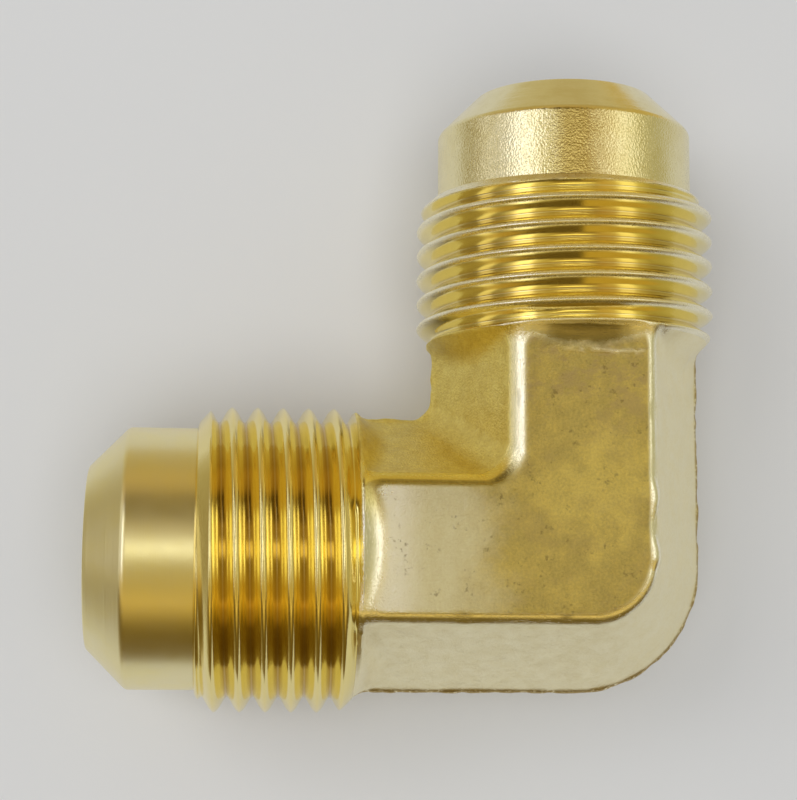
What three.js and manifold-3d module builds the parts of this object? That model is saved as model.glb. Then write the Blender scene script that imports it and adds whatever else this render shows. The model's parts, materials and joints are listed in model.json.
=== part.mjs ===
// A 90 degree union elbow for flared copper tube: one drop-forged brass body with a turned
// 45 degree flare nose and a right-hand unified thread on each of its two legs.
// Millimetres, +Z up. The left leg points along -X and the top leg along +Y. The origin is on
// the lower wrench flat, straight below the point where the two bore axes cross.
import * as THREE from 'three';
import { mergeVertices } from 'three/addons/utils/BufferGeometryUtils.js';
import Module from 'manifold-3d';

const wasm = await Module();
wasm.setup();

// ---- driving dimensions ----

const inch = 25.4;
const halfThickness = 8; // bore axes to either wrench flat
const faceDistance = 29.9; // crossing of the bore axes to the end face of a nose

// Threads: 3/4-16 UNF, class 2A.
const pitch = inch / 16;
const crestRadius = 9.5;
const threadDepth = 0.6134 * pitch;
const rootRadius = crestRadius - threadDepth;
const crestFlat = pitch / 8;
const rootFlat = pitch - crestFlat - 2 * threadDepth * Math.tan(Math.PI / 6);
const leadInLength = 1; // axial length of the chamfer that starts the thread

// Flare noses.
const noseRadius = 8.13;
const noseStart = 23.25; // where the plain nose meets the thread's lead-in
const endFaceRadius = 5.67; // the 45 degree cone ends here
const boreRadius = 5.15;
const drillPointAngle = THREE.MathUtils.degToRad(59); // half of a drill's 118 degrees
const borePastCrossing = 1; // the full bore runs this far beyond the crossing

// Forged elbow section, measured from the middle of the forging.
const flatHalfWidth = 4.2;
const partingHalfWidth = 8.5;
const flashHalfHeight = 0.3; // the trimmed flash leaves an upright land round the parting line
const flatEdgeRounding = 0.7;
const outerBendCentre = 0.5; // the outer corner is turned about a point this far out
const innerBendRadiusAtFlash = 1.4;
const innerBendRadiusAtFlat = 1.9;

// The forging's shoulders are 45 degree cones, shoulderRadius round at shoulderStation.
const shoulderRadius = 8.4;
const shoulderStation = 12.85;
const forgingOffset = 0.375; // the ends are machined this far off the forging, towards -Y
const elbowEnd = 13.5; // the elbow ends here on each leg, measured in the forging

// Smoothness.
const roundSegments = 48;
const bendSegments = 10;
const edgeSegments = 3;
const samePoint = 1e-5; // points closer than this are one point

// Where a thread crest stands on the side that faces +Z, measured from the crossing.
const leftThreadPhase = 14.43;
const topThreadPhase = 13.68;

// ---- closed meshes and solids ----

function solidOf(geometry) {
  const bare = geometry.clone();
  bare.deleteAttribute('normal');
  bare.deleteAttribute('uv');
  const merged = mergeVertices(bare, samePoint);
  const mesh = new wasm.Mesh({
    numProp: 3,
    vertProperties: new Float32Array(merged.attributes.position.array),
    triVerts: new Uint32Array(merged.index.array),
  });
  return new wasm.Manifold(mesh);
}

function geometryOf(solid) {
  const mesh = solid.getMesh();
  const geometry = new THREE.BufferGeometry();
  geometry.setAttribute('position', new THREE.BufferAttribute(mesh.vertProperties, 3));
  geometry.setIndex(new THREE.BufferAttribute(mesh.triVerts, 1));
  geometry.computeVertexNormals();
  return geometry;
}

// A skin of rows of points, closed by a fan at each end. The rows run round the shape.
function skin(rows, firstCentre, lastCentre) {
  const count = rows[0].length;
  const points = [...rows.flat(), firstCentre, lastCentre];
  const first = rows.length * count;
  const last = first + 1;
  const index = [];
  for (let row = 0; row + 1 < rows.length; row += 1) {
    for (let column = 0; column < count; column += 1) {
      const here = row * count + column;
      const beside = row * count + ((column + 1) % count);
      index.push(here, here + count, beside + count, here, beside + count, beside);
    }
  }
  for (let column = 0; column < count; column += 1) {
    const next = (column + 1) % count;
    index.push(first, column, next, last, first - count + next, first - count + column);
  }
  return new THREE.BufferGeometry().setFromPoints(points).setIndex(index);
}

// A solid turned about local +Z, from an outline of [radius, station] pairs.
function turned(outline) {
  const points = outline.map(([radius, station]) => new THREE.Vector2(radius, station));
  return new THREE.LatheGeometry(points, roundSegments).rotateX(Math.PI / 2);
}

// ---- legs ----

// A leg's frame has local +Z along the leg, outwards, and local +Y towards the sky.
function legFrame(outward) {
  const sky = new THREE.Vector3(0, 0, 1);
  const side = new THREE.Vector3().crossVectors(sky, outward);
  return new THREE.Matrix4().makeBasis(side, sky, outward).setPosition(0, 0, halfThickness);
}

const leftLeg = {
  frame: legFrame(new THREE.Vector3(-1, 0, 0)),
  threadPhase: leftThreadPhase,
  forgingSideways: -forgingOffset,
  forgingAlong: 0,
};

const topLeg = {
  frame: legFrame(new THREE.Vector3(0, 1, 0)),
  threadPhase: topThreadPhase,
  forgingSideways: 0,
  forgingAlong: forgingOffset,
};

const blankStart = 9; // well inside the forged elbow
const blankEnd = faceDistance + 1;
const blankRadius = crestRadius + 2; // bar stock, before the lathe

// Where a 45 degree shoulder cone has a given radius, measured in the forging.
function coneStation(radius) {
  return shoulderStation + radius - shoulderRadius;
}

// The forged blank of a leg: a shoulder cone that opens out to a plain bar.
function forgedBlank(leg) {
  const startRadius = shoulderRadius + blankStart - shoulderStation;
  const blank = turned([
    [0, blankStart],
    [startRadius, blankStart],
    [blankRadius, coneStation(blankRadius)],
    [blankRadius, blankEnd],
    [0, blankEnd],
  ]);
  return solidOf(blank.translate(leg.forgingSideways, 0, leg.forgingAlong));
}

// What the lathe leaves of a leg: thread crest, lead-in, plain nose and 45 degree flare cone.
function turnedEnvelope() {
  const rim = faceDistance - (noseRadius - endFaceRadius);
  return solidOf(turned([
    [0, blankStart],
    [crestRadius, blankStart],
    [crestRadius, noseStart - leadInLength],
    [noseRadius, noseStart],
    [noseRadius, rim],
    [endFaceRadius, faceDistance],
    [0, faceDistance],
  ]));
}

// A bar with the right-hand thread cut along its whole length. One turn of the helix climbs one
// pitch, so the last column of a row is the first column of the row one pitch further on.
function threadedBar(phase) {
  const section = [
    [crestRadius, -crestFlat / 2],
    [crestRadius, crestFlat / 2],
    [rootRadius, (pitch - rootFlat) / 2],
    [rootRadius, (pitch + rootFlat) / 2],
  ];
  const rowsPerTurn = section.length;
  const crestAtStart = phase - pitch / 4;
  const firstTurn = Math.floor((blankStart - crestAtStart) / pitch) - 2;
  const turns = Math.ceil((blankEnd - blankStart) / pitch) + 3;
  const rows = turns * rowsPerTurn;

  const pointAt = (row, column) => {
    const [radius, offset] = section[row % rowsPerTurn];
    const turn = firstTurn + Math.floor(row / rowsPerTurn) + column / roundSegments;
    const angle = (2 * Math.PI * column) / roundSegments;
    const station = crestAtStart + turn * pitch + offset;
    return new THREE.Vector3(radius * Math.cos(angle), radius * Math.sin(angle), station);
  };

  const points = [];
  const numbers = new Map();
  const number = (row, column) => {
    if (column === roundSegments) return number(row + rowsPerTurn, 0);
    const key = `${row},${column}`;
    if (!numbers.has(key)) numbers.set(key, points.push(pointAt(row, column)) - 1);
    return numbers.get(key);
  };
  const axisPoint = (row) => points.push(new THREE.Vector3(0, 0, pointAt(row, 0).z)) - 1;

  const index = [];
  for (let row = 0; row < rows; row += 1) {
    for (let column = 0; column < roundSegments; column += 1) {
      const here = number(row, column);
      const beside = number(row, column + 1);
      const above = number(row + 1, column);
      const across = number(row + 1, column + 1);
      index.push(here, beside, across, here, across, above);
    }
  }

  // Each end: once round the row, then back down the step where the helix meets itself.
  const endLoop = (row) => {
    const round = Array.from({ length: roundSegments + 1 }, (_, column) => number(row, column));
    const step = Array.from({ length: rowsPerTurn }, (_, k) => number(row + rowsPerTurn - 1 - k, 0));
    return [...round, ...step];
  };
  const closeEnd = (row, facesUp) => {
    const centre = axisPoint(row);
    const loop = endLoop(row);
    for (let k = 0; k + 1 < loop.length; k += 1) {
      const pair = facesUp ? [loop[k], loop[k + 1]] : [loop[k + 1], loop[k]];
      index.push(centre, ...pair);
    }
  };
  closeEnd(0, false);
  closeEnd(rows, true);
  return solidOf(new THREE.BufferGeometry().setFromPoints(points).setIndex(index));
}

function boreTool(leg) {
  const tip = borePastCrossing + boreRadius / Math.tan(drillPointAngle);
  const tool = turned([
    [0, -tip],
    [boreRadius, -borePastCrossing],
    [boreRadius, blankEnd],
    [0, blankEnd],
  ]);
  return solidOf(tool.applyMatrix4(leg.frame));
}

function legSolid(leg) {
  const solid = forgedBlank(leg).intersect(turnedEnvelope()).intersect(threadedBar(leg.threadPhase));
  return solidOf(geometryOf(solid).applyMatrix4(leg.frame));
}

// ---- forged elbow ----

// The points that round off one corner of an outline.
function roundedCorner(before, corner, after, rounding) {
  const towards = (other) => corner.clone().add(other.clone().sub(corner).setLength(rounding));
  const bend = new THREE.QuadraticBezierCurve(towards(before), corner, towards(after));
  return bend.getPoints(edgeSegments);
}

// The forging's section: x is the distance from the middle line, outwards, and y is the height
// above the parting plane. Wrench flats lie above and below, with sloping sides between.
function elbowSection() {
  const flashTop = new THREE.Vector2(partingHalfWidth, flashHalfHeight);
  const flatEdge = new THREE.Vector2(flatHalfWidth, halfThickness);
  const flatMiddle = new THREE.Vector2(0, halfThickness);
  const quarter = [flashTop, ...roundedCorner(flashTop, flatEdge, flatMiddle, flatEdgeRounding)];
  const mirrored = (points, x, y) => points.map((p) => new THREE.Vector2(p.x * x, p.y * y));
  return [
    ...quarter,
    ...mirrored(quarter, -1, 1).reverse(),
    ...mirrored(quarter, -1, -1),
    ...mirrored(quarter, 1, -1).reverse(),
  ];
}

function bendRadius(sectionPoint) {
  if (sectionPoint.x > 0) return sectionPoint.x - outerBendCentre;
  const height = Math.abs(sectionPoint.y) / halfThickness;
  return THREE.MathUtils.lerp(innerBendRadiusAtFlash, innerBendRadiusAtFlat, height);
}

// The section swept along the left leg, round the bend and along the top leg. It reaches as far
// as the shoulder cones that have grown as wide as the section.
function elbowBar() {
  const section = elbowSection();
  const widest = Math.max(...section.map((p) => p.length()));
  const reach = coneStation(widest);
  const place = (x, y, height) => new THREE.Vector3(x, y + forgingOffset, height + halfThickness);

  const rows = [section.map((p) => place(-reach, -p.x, p.y))];
  for (let step = 0; step <= bendSegments; step += 1) {
    const angle = ((Math.PI / 2) * step) / bendSegments;
    rows.push(section.map((p) => {
      const radius = bendRadius(p);
      const centre = p.x - radius;
      return place(centre + radius * Math.sin(angle), -centre - radius * Math.cos(angle), p.y);
    }));
  }
  rows.push(section.map((p) => place(p.x, reach, p.y)));
  return solidOf(skin(rows, place(-reach, 0, 0), place(0, reach, 0)));
}

// ---- the whole fitting and its zones ----

const fitting = elbowBar()
  .add(legSolid(leftLeg))
  .add(legSolid(topLeg))
  .subtract(boreTool(leftLeg))
  .subtract(boreTool(topLeg));

// The block of space between two corners.
function block(nearCorner, farCorner) {
  const size = farCorner.clone().sub(nearCorner);
  const middle = nearCorner.clone().add(farCorner).multiplyScalar(0.5);
  const box = new THREE.BoxGeometry(size.x, size.y, size.z);
  return solidOf(box.translate(middle.x, middle.y, middle.z));
}

const clear = 16; // further from a bore axis than any side of the fitting
const low = halfThickness - clear;
const high = halfThickness + clear;
const leftSplit = elbowEnd;
const topSplit = elbowEnd + forgingOffset;

const leftBlock = (from, to) => block(
  new THREE.Vector3(-to, -clear, low),
  new THREE.Vector3(-from, clear, high),
);
const topBlock = (from, to) => block(
  new THREE.Vector3(-clear, from, low),
  new THREE.Vector3(clear, to, high),
);
const elbowBlock = block(
  new THREE.Vector3(-leftSplit, -clear, low),
  new THREE.Vector3(clear, topSplit, high),
);

function brass(name, color, roughness) {
  return new THREE.MeshStandardMaterial({ name, color, roughness, metalness: 1 });
}

const zones = [
  ['forged_elbow', elbowBlock, brass('forged brass', 0xb5a25c, 0.5)],
  ['left_thread', leftBlock(leftSplit, noseStart), brass('threaded brass', 0xc9a32e, 0.25)],
  ['left_flare_nose', leftBlock(noseStart, blankEnd), brass('turned brass', 0xcbb566, 0.22)],
  ['top_thread', topBlock(topSplit, noseStart), brass('threaded brass', 0xc9a32e, 0.25)],
  ['top_flare_nose', topBlock(noseStart, blankEnd), brass('grained brass', 0xc4b27a, 0.4)],
];

const elbow = new THREE.Group();
for (const [name, space, material] of zones) {
  const mesh = new THREE.Mesh(geometryOf(fitting.intersect(space)), material);
  mesh.name = name;
  elbow.add(mesh);
}

export default elbow;
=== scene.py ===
"""Looks of a forged brass flare elbow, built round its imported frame.

Shapes are worked out in millimetres, in the row frame, and meshed in metres.
"""

import json
import math

import bmesh
import bpy
import numpy as np
from mathutils import Matrix, Vector


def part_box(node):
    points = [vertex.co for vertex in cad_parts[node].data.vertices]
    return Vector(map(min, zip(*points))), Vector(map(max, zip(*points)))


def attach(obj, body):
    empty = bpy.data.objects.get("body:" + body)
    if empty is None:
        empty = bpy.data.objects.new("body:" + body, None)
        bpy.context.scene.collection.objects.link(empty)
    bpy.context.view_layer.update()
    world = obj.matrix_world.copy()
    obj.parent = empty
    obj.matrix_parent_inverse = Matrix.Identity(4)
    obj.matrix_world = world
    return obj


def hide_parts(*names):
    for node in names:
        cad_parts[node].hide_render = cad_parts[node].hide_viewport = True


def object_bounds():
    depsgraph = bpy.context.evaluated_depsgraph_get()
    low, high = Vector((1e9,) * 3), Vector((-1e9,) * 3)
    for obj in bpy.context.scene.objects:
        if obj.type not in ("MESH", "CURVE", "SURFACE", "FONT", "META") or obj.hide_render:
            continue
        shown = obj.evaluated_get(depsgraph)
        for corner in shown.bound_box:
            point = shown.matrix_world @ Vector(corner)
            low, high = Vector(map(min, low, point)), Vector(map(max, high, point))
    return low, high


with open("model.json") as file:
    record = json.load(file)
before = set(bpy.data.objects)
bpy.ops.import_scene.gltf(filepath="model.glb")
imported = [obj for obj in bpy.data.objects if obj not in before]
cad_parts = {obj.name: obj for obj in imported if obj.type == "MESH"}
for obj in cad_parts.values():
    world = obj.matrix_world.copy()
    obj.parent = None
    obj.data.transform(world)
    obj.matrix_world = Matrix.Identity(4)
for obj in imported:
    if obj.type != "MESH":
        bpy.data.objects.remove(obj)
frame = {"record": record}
CAD_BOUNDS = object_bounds()

# ---------------------------------------------------------------- sizes, in millimetres

MM = 0.001
PER_METRE = 1 / MM


def cad_box(node):
    """Lowest and highest corner of a CAD node, in millimetres."""
    low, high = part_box(node)
    return np.array(low) * PER_METRE, np.array(high) * PER_METRE


def mount_height(name):
    """Height of one of the part's mounts, in millimetres."""
    mounts = {m["name"]: m for m in frame["record"]["mounts"]}
    return mounts[name]["pos_m"][2] * PER_METRE


HALF_THICKNESS = (mount_height("upper_flat") - mount_height("lower_flat")) / 2
AXIS_HEIGHT = mount_height("lower_flat") + HALF_THICKNESS

LEFT_THREAD = cad_box("left_thread")
LEFT_NOSE = cad_box("left_flare_nose")
TOP_THREAD = cad_box("top_thread")

LEFT_SPLIT = -LEFT_THREAD[1][0]
TOP_SPLIT = TOP_THREAD[0][1]
NOSE_START = -LEFT_NOSE[1][0]
FACE_DISTANCE = -LEFT_NOSE[0][0]
CREST_RADIUS = (LEFT_THREAD[1][2] - LEFT_THREAD[0][2]) / 2
NOSE_RADIUS = (LEFT_NOSE[1][2] - LEFT_NOSE[0][2]) / 2
FORGING_OFFSET = TOP_SPLIT - LEFT_SPLIT

PITCH = 25.4 / 16
THREAD_DEPTH = 0.6134 * PITCH
ROOT_RADIUS = CREST_RADIUS - THREAD_DEPTH
CREST_HALF_WIDTH = PITCH / 11
FLANK_SLOPE = math.sqrt(3)
LEAD_IN_LENGTH = 1.0
LEAD_IN_STEP = 0.27
STEP_FOOT = 0.03
STEP_SLOPE = 3.5
END_FACE_RADIUS = 5.67
BORE_RADIUS = 5.15
BORE_MOUTH_CHAMFER = 0.3
BORE_PAST_CROSSING = 1.0
DRILL_HALF_ANGLE = math.radians(59)
CONE_START = FACE_DISTANCE - (NOSE_RADIUS - END_FACE_RADIUS)

FLAT_HALF_WIDTH = 4.2
PARTING_HALF_WIDTH = 8.5
OUTER_BEND_CENTRE = 0.5
INNER_BEND_AT_FLASH = 1.4
INNER_BEND_AT_FLAT = 1.9
SHOULDER_RADIUS = 8.4
SHOULDER_STATION = 12.85
SECTION_REACH = 13.4
PLAIN_SECTION_END = 11.0

LEFT_PHASE = 14.43
TOP_PHASE = 13.68

# The sloping side of the section: its outward normal and its distance from the middle.
SIDE_RISE = np.array([PARTING_HALF_WIDTH - FLAT_HALF_WIDTH, HALF_THICKNESS])
SIDE_NORMAL = np.array([SIDE_RISE[1], SIDE_RISE[0]]) / np.hypot(*SIDE_RISE)
SIDE_DISTANCE = PARTING_HALF_WIDTH * SIDE_NORMAL[0]

# How softly surfaces run into each other.
CREST_SOFTNESS = 0.42
ROOT_SOFTNESS = 0.2
STEP_SOFTNESS = 0.12
TURNED_EDGE_SOFTNESS = 0.1
SHOULDER_EDGE_SOFTNESS = 0.22
SHOULDER_FILLET = 0.5
OUTER_FLAT_EDGE = 0.55

# ---------------------------------------------------------------- numbers and noise


def smooth_max(a, b, softness):
    """The larger of two values, blended where they are within the softness of each other."""
    mix = np.clip(0.5 + 0.5 * (a - b) / softness, 0, 1)
    return b + (a - b) * mix + softness * mix * (1 - mix)


def smooth_min(a, b, softness):
    return -smooth_max(-a, -b, softness)


def smooth_step(value, start, end):
    t = np.clip((value - start) / (end - start), 0, 1)
    return t * t * (3 - 2 * t)


def lattice_value(cells, seed):
    """A fixed number from -1 to 1 for each whole-numbered cell."""
    mixed = np.uint32(seed) * np.uint32(374761393) + np.zeros(cells.shape[:-1], np.uint32)
    for axis, prime in enumerate((668265263, 2246822519, 3266489917)):
        mixed = (mixed ^ cells[..., axis].astype(np.uint32)) * np.uint32(prime)
        mixed ^= mixed >> np.uint32(15)
    mixed = mixed * np.uint32(2654435761)
    mixed ^= mixed >> np.uint32(13)
    return mixed.astype(np.float64) / 2147483647.5 - 1


def noise(points, size, seed):
    """Smooth value noise, from about -1 to 1, with bumps of the given size."""
    scaled = points / size
    base = np.floor(scaled)
    part = scaled - base
    part = part * part * (3 - 2 * part)
    base = base.astype(np.int64)
    total = 0
    for corner in np.ndindex(2, 2, 2):
        weight = np.prod(np.where(corner, part, 1 - part), axis=-1)
        total = total + weight * lattice_value(base + np.array(corner), seed)
    return total


# ---------------------------------------------------------------- legs


class Leg:
    """One leg of the elbow, with its own coordinates: across, up and station along its bore.

    outward is the leg's direction and across is up x outward, both in the row frame. phase is the
    station of a thread crest on the upper side. The forging's middle is off the bore's by
    forging_across and forging_along, and the thread starts at split. shoulder is the fillet below
    the shoulder cone at the flats and how far the cone is set back there. inner_edge is the
    softness of the flats' edge on the inner side of the bend.
    """

    def __init__(self, outward, phase, forging_across, forging_along, split, shoulder, inner_edge):
        self.outward = np.array(outward, float)
        self.across = np.cross((0, 0, 1), self.outward)
        self.phase = phase
        self.forging_across = forging_across
        self.forging_along = forging_along
        self.split = split
        self.flat_fillet, self.set_back_at_flats = shoulder
        self.inner_edge = inner_edge

    def place(self, across, up, station):
        """Points in the row frame."""
        height = np.array([0, 0, 1.0])
        return (
            across[..., None] * self.across
            + up[..., None] * height
            + station[..., None] * self.outward
            + AXIS_HEIGHT * height
        )


LEFT = Leg((-1, 0, 0), LEFT_PHASE, -FORGING_OFFSET, 0.0, LEFT_SPLIT, (1.0, 0.0), 0.75)
TOP = Leg((0, 1, 0), TOP_PHASE, 0.0, FORGING_OFFSET, TOP_SPLIT, (1.1, 0.5), 1.0)


def thread_radius(leg, angle, station):
    """Radius of a right-hand thread with rounded crests and roots."""
    turn = (station - leg.phase) / PITCH + 0.25 - angle / (2 * math.pi)
    from_crest = np.abs(turn - np.round(turn)) * PITCH
    flank = CREST_RADIUS - FLANK_SLOPE * (from_crest - CREST_HALF_WIDTH)
    crested = smooth_min(np.full_like(flank, CREST_RADIUS), flank, CREST_SOFTNESS)
    return smooth_max(crested, np.full_like(flank, ROOT_RADIUS), ROOT_SOFTNESS)


def lead_in_radius(station):
    """The chamfer that starts a thread. It stands a small rounded step above the nose."""
    before_end = NOSE_START - station
    slope = (CREST_RADIUS - NOSE_RADIUS - LEAD_IN_STEP) / LEAD_IN_LENGTH
    chamfer = NOSE_RADIUS + LEAD_IN_STEP + slope * before_end
    step = NOSE_RADIUS + STEP_FOOT + STEP_SLOPE * before_end
    return smooth_min(chamfer, step, STEP_SOFTNESS)


def nearness_to_flats(across, up):
    """1 where a ray from the axis points at a wrench flat, and 0 where it points aside."""
    return smooth_step(np.abs(up) / np.hypot(across, up), 0.8, 0.95)


def shoulder_cone(leg, across, up, station):
    """Radius of the 45 degree cone that the forging swells into below a thread."""
    cone = SHOULDER_RADIUS + station - leg.forging_along - SHOULDER_STATION
    return cone - leg.set_back_at_flats * nearness_to_flats(across, up)


def section_field(out, up, inner_edge):
    """Below zero inside the forging's section. out is measured towards the outer side."""
    flat = np.abs(up) - HALF_THICKNESS
    side = SIDE_NORMAL[0] * np.abs(out) + SIDE_NORMAL[1] * np.abs(up) - SIDE_DISTANCE
    softness = np.where(out > 0, OUTER_FLAT_EDGE, inner_edge)
    return smooth_max(flat, side, softness)


def leg_field(leg, across, up, station):
    """Below zero inside a leg: forged section, shoulder cone, thread and lead-in together."""
    from_axis = np.hypot(across, up)
    thread = thread_radius(leg, np.arctan2(up, across), station)
    turned = smooth_min(thread, lead_in_radius(station), TURNED_EDGE_SOFTNESS)
    forged_across = across - leg.forging_across
    cone = shoulder_cone(leg, across, up, station)
    cone_gap = (np.hypot(forged_across, up) - cone) * math.sqrt(0.5)
    bar = smooth_max(cone_gap, from_axis - turned, SHOULDER_EDGE_SOFTNESS)
    past_section = station - leg.forging_along - SECTION_REACH
    out = forged_across * OUT_SIGN[leg]
    section = section_field(out, up, leg.inner_edge)
    section = smooth_max(section, past_section, TURNED_EDGE_SOFTNESS)
    more_at_flats = leg.flat_fillet - SHOULDER_FILLET
    fillet = SHOULDER_FILLET + more_at_flats * nearness_to_flats(across, up)
    return smooth_min(section, bar, fillet)


# The outer side of the bend lies towards +across on the left leg and -across on the top leg.
OUT_SIGN = {LEFT: 1.0, TOP: -1.0}


def reach_along_rays(field, angle, lowest=4.0, highest=11.0, steps=24):
    """The distance from the axis at which field(across, up) changes sign, for each angle."""
    low = np.full(angle.shape, lowest)
    high = np.full(angle.shape, highest)
    for _ in range(steps):
        middle = (low + high) / 2
        inside = field(middle * np.cos(angle), middle * np.sin(angle)) < 0
        low = np.where(inside, middle, low)
        high = np.where(inside, high, middle)
    return (low + high) / 2


# ---------------------------------------------------------------- meshes


def ring_grid_faces(rows, columns, wrap=False):
    """Quads of a grid whose columns go once round, and whose rows may too."""
    last = rows if wrap else rows - 1
    row, column = np.meshgrid(np.arange(last), np.arange(columns), indexing="ij")
    beside = (column + 1) % columns
    above = (row + 1) % rows
    corners = [
        row * columns + column,
        row * columns + beside,
        above * columns + beside,
        above * columns + column,
    ]
    return np.stack(corners, axis=-1).reshape(-1, 4)


def outward_normals(rings):
    """Unit normals of a grid of points, rings x columns x 3, facing away from the ring centres."""
    along = np.gradient(rings, axis=0)
    around = np.roll(rings, -1, axis=1) - np.roll(rings, 1, axis=1)
    normals = np.cross(around, along)
    normals /= np.linalg.norm(normals, axis=-1, keepdims=True)
    outward = rings - rings.mean(axis=1, keepdims=True)
    if (normals * outward).sum() < 0:
        normals = -normals
    return normals


def make_object(name, points, faces, attributes=None):
    """An object from points in millimetres. Faces are turned outwards."""
    mesh = bpy.data.meshes.new(name)
    mesh.from_pydata((points * MM).tolist(), [], faces)
    for label, values in (attributes or {}).items():
        layer = mesh.attributes.new(label, "FLOAT", "POINT")
        layer.data.foreach_set("value", np.ascontiguousarray(values, np.float32).ravel())
    shape = bmesh.new()
    shape.from_mesh(mesh)
    bmesh.ops.recalc_face_normals(shape, faces=shape.faces)
    shape.to_mesh(mesh)
    shape.free()
    piece = bpy.data.objects.new(name, mesh)
    bpy.context.scene.collection.objects.link(piece)
    return piece


def smooth_but_sharp(piece, degrees):
    """Smooth shading, with a crease wherever faces meet at more than the angle."""
    piece.data.shade_smooth()
    piece.data.set_sharp_from_angle(angle=math.radians(degrees))


def cut_away(piece, tools):
    """Subtracts closed objects from a piece and leaves a plain mesh."""
    for tool in tools:
        cut = piece.modifiers.new(tool.name, "BOOLEAN")
        cut.operation = "DIFFERENCE"
        cut.solver = "MANIFOLD"
        cut.object = tool
    bpy.context.view_layer.update()
    shown = piece.evaluated_get(bpy.context.evaluated_depsgraph_get())
    finished = bpy.data.meshes.new_from_object(shown)
    piece.modifiers.clear()
    rough = piece.data
    piece.data = finished
    bpy.data.meshes.remove(rough)
    finished.name = piece.name
    for tool in tools:
        bpy.data.objects.remove(tool)


def even_steps(start, end, spacing):
    """Evenly spaced values from start to end, about the spacing apart."""
    count = max(2, int(round(abs(end - start) / spacing)) + 1)
    return np.linspace(start, end, count)


# ---------------------------------------------------------------- forged elbow

ELBOW_COLUMNS = 344
STRAIGHT_RINGS = 62
BEND_RINGS = 84
SHOULDER_RING_SPACING = 0.11
FLASH_HALF_HEIGHT = 0.22


def elbow_angles():
    """Ray directions round the section, closer together at the flat edges and parting line."""
    fine = np.linspace(0, 2 * math.pi, 7200, endpoint=False)
    edge = math.atan2(HALF_THICKNESS, FLAT_HALF_WIDTH)
    weight = np.ones_like(fine)
    for centre, extra, spread in (
        (edge, 2.0, 0.09),
        (math.pi - edge, 2.0, 0.12),
        (-edge, 2.0, 0.09),
        (edge - math.pi, 2.0, 0.12),
        (0, 4.0, 0.03),
        (math.pi, 4.0, 0.03),
    ):
        apart = np.angle(np.exp(1j * (fine - centre)))
        weight += extra * np.exp(-((apart / spread) ** 2))
    total = np.cumsum(weight)
    share = np.arange(ELBOW_COLUMNS) / ELBOW_COLUMNS * total[-1]
    return np.interp(share, total, fine)


def leg_section(leg, angle, station):
    """Section points (out, up) of a leg at a station measured in the forging."""

    def field(out, up):
        across = leg.forging_across + OUT_SIGN[leg] * out
        return leg_field(leg, across, up, station + leg.forging_along)

    reach = reach_along_rays(field, angle)
    return reach * np.cos(angle), reach * np.sin(angle)


def elbow_rings():
    """Rings of points from the end of the left leg, round the bend, to the end of the top leg."""
    angle = elbow_angles()
    end = LEFT_SPLIT - LEFT.forging_along
    stations = even_steps(end, PLAIN_SECTION_END, SHOULDER_RING_SPACING)
    rings = []

    def add(x, y, up):
        rings.append(np.stack([x, y + FORGING_OFFSET, up + AXIS_HEIGHT], axis=-1))

    for station in stations:
        out, up = leg_section(LEFT, angle, station)
        add(np.full_like(out, -station), -out, up)

    def bent(inner_edge):
        """The plain section, with the radius and the centre of each point's path round the bend."""

        def field(out, up):
            return section_field(out, up, inner_edge)

        reach = reach_along_rays(field, angle)
        out, up = reach * np.cos(angle), reach * np.sin(angle)
        height = np.abs(up) / HALF_THICKNESS
        half_width = (SIDE_DISTANCE - SIDE_NORMAL[1] * np.abs(up)) / SIDE_NORMAL[0]
        inner_bend = INNER_BEND_AT_FLASH + (INNER_BEND_AT_FLAT - INNER_BEND_AT_FLASH) * height
        outer_bend = half_width - OUTER_BEND_CENTRE
        share = np.clip((out + half_width) / (2 * half_width), 0, 1)
        bend = inner_bend + (outer_bend - inner_bend) * share
        return out, up, bend, out - bend

    straight = np.linspace(0, 1, STRAIGHT_RINGS + 1)[1:-1]
    out, up, bend, centre = bent(LEFT.inner_edge)
    for t in straight:
        add(-PLAIN_SECTION_END + t * (centre + PLAIN_SECTION_END), -out, up)
    for t in np.linspace(0, 1, BEND_RINGS + 1):
        edge = LEFT.inner_edge + (TOP.inner_edge - LEFT.inner_edge) * t
        out, up, bend, centre = bent(edge)
        turn = t * math.pi / 2
        add(centre + bend * math.sin(turn), -centre - bend * math.cos(turn), up)
    for t in straight:
        add(out, -centre + t * (PLAIN_SECTION_END + centre), up)

    for station in stations[::-1]:
        out, up = leg_section(TOP, angle, station)
        add(out, np.full_like(out, station), up)
    return np.array(rings)


def bump_at(points, centre, radius):
    """A smooth bump, 1 at its centre and 0 beyond its radius."""
    apart = np.linalg.norm(points - np.array(centre), axis=-1) / radius
    return (1 - np.clip(apart, 0, 1) ** 2) ** 2


# Small beads and dents along the edges of the flats: place in the row frame, radius, height.
DENTS = (
    ((4.35, 3.6, 15.8), 1.1, 0.15),
    ((4.35, 0.15, 15.8), 1.1, 0.17),
    ((4.15, 1.9, 16.0), 0.9, -0.10),
    ((4.15, 5.3, 16.0), 1.0, -0.07),
    ((4.3, 8.9, 16.0), 0.8, -0.05),
    ((-7.3, -3.8, 16.0), 0.7, -0.07),
    ((-1.2, -3.9, 16.0), 0.5, -0.06),
    ((-4.4, 9.4, 16.0), 0.8, -0.08),
    ((4.2, 6.5, 0.0), 0.7, -0.12),
    ((-5.5, 4.5, 0.0), 0.6, -0.08),
    ((-9.5, -3.8, 0.0), 0.6, -0.07),
)
BURR_STATION = 12.42
BURR_HALF_WIDTH = 0.16
BURR_HEIGHT = 0.13


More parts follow.
